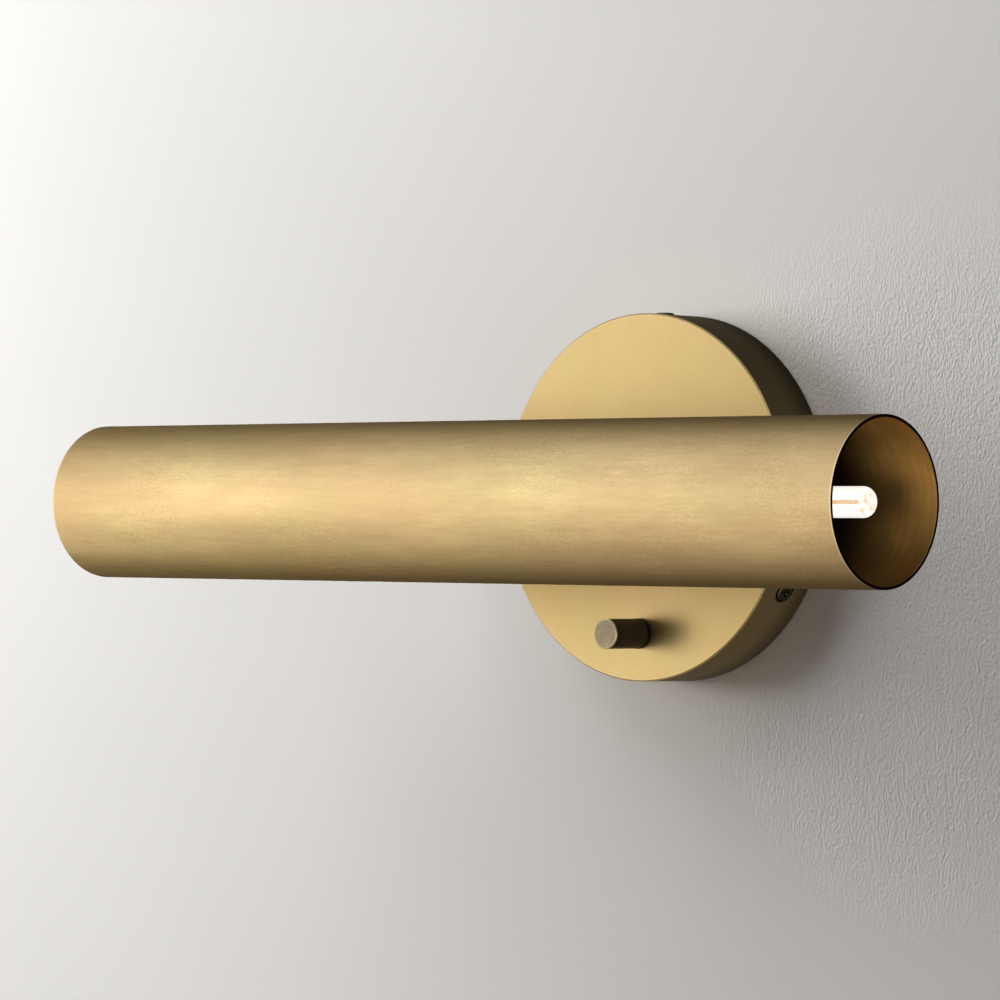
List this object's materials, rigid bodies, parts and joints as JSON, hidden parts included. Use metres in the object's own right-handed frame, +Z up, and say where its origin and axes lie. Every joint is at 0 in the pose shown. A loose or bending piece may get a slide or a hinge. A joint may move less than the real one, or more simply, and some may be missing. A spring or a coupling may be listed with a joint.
{
  "type": "tube wall light",
  "caption": "Wall light with an open-ended metal tube shade carried level in front of a round canopy by a short hidden arm, a lamp in each end and a knurled dimmer knob below.",
  "frame": {"origin": "centre of the wall plane behind the canopy, midway between the wall box screws", "axes": "+Z up, +X to the right for a viewer facing the wall, +Y into the wall; the light stands out towards -Y"},
  "size_m": [0.413, 0.1627, 0.1507],
  "materials": {
    "shade_brass": "aged, brushed along the tube",
    "canopy_brass": "aged, satin",
    "arm_brass": "aged, satin",
    "knob_brass": "dark aged, diamond knurled",
    "screw_brass": "dark patina",
    "nut_brass": "machined",
    "plate_steel": "zinc plated",
    "bracket_steel": "zinc plated",
    "nipple_steel": "threaded, zinc plated",
    "zinc_screw": "zinc plated",
    "black_steel": "black oxide",
    "shaft_steel": "turned",
    "pin_steel": "drawn wire",
    "tinned_steel": "tinned",
    "saddle_aluminium": "machined",
    "holder_ceramic": "matt",
    "lamp_ceramic": "matt",
    "lamp_glass": "clear",
    "filament": "glowing",
    "dimmer_plastic": "moulded black",
    "board": "circuit board",
    "terminal_plastic": "moulded, off-white",
    "live_sleeve": "brown insulation",
    "neutral_sleeve": "blue insulation",
    "earth_sleeve": "green and yellow insulation"
  },
  "bodies": {
    "fixture": {"mounting_plate": "plate_steel", "canopy": "canopy_brass", "canopy_screws": "screw_brass", "earth_lug": "tinned_steel", "earth_screw": "zinc_screw", "arm_sleeve": "arm_brass", "arm_nipple": "nipple_steel", "arm_rear_washer": "zinc_screw", "arm_earth_tag": "tinned_steel", "arm_rear_nut": "nut_brass", "arm_saddle": "saddle_aluminium", "arm_front_washer": "zinc_screw", "arm_front_nut": "nut_brass", "shade_tube": "shade_brass", "lamp_bracket": "bracket_steel", "right_lampholder": "holder_ceramic", "right_holder_contacts": "nut_brass", "right_holder_screws": "zinc_screw", "right_live_lead": "live_sleeve", "right_neutral_lead": "neutral_sleeve", "left_lampholder": "holder_ceramic", "left_holder_contacts": "nut_brass", "left_holder_screws": "zinc_screw", "left_live_lead": "live_sleeve", "left_neutral_lead": "neutral_sleeve", "dimmer_bush": "nut_brass", "dimmer_plate": "bracket_steel", "dimmer_case": "dimmer_plastic", "dimmer_board": "board", "dimmer_washer": "zinc_screw", "dimmer_nut": "nut_brass", "terminal_block": "terminal_plastic", "terminal_screws": "zinc_screw", "terminal_fixing_screw": "zinc_screw", "dimmer_feed_lead": "live_sleeve", "dimmer_return_lead": "live_sleeve", "earth_lead": "earth_sleeve"},
    "knob": {"knob": "knob_brass", "knob_grub_screw": "black_steel", "dimmer_shaft": "shaft_steel"},
    "right_lamp": {"right_lamp_glass": "lamp_glass", "right_lamp_base": "lamp_ceramic", "right_lamp_pins": "pin_steel", "right_lamp_filament": "filament"},
    "left_lamp": {"left_lamp_glass": "lamp_glass", "left_lamp_base": "lamp_ceramic", "left_lamp_pins": "pin_steel", "left_lamp_filament": "filament"}
  },
  "joints": [
    {"name": "knob_turn", "type": "hinge", "parent": "fixture", "child": "knob", "pos_m": [0, -0.0275, -0.0555], "axis": [0, 1, 0], "range_deg": [-300, 0]},
    {"name": "right_lamp_pull", "type": "slide", "parent": "fixture", "child": "right_lamp", "axis": [1, 0, 0], "range_m": [0, 0.06]},
    {"name": "left_lamp_pull", "type": "slide", "parent": "fixture", "child": "left_lamp", "axis": [-1, 0, 0], "range_m": [0, 0.06]}
  ]
}
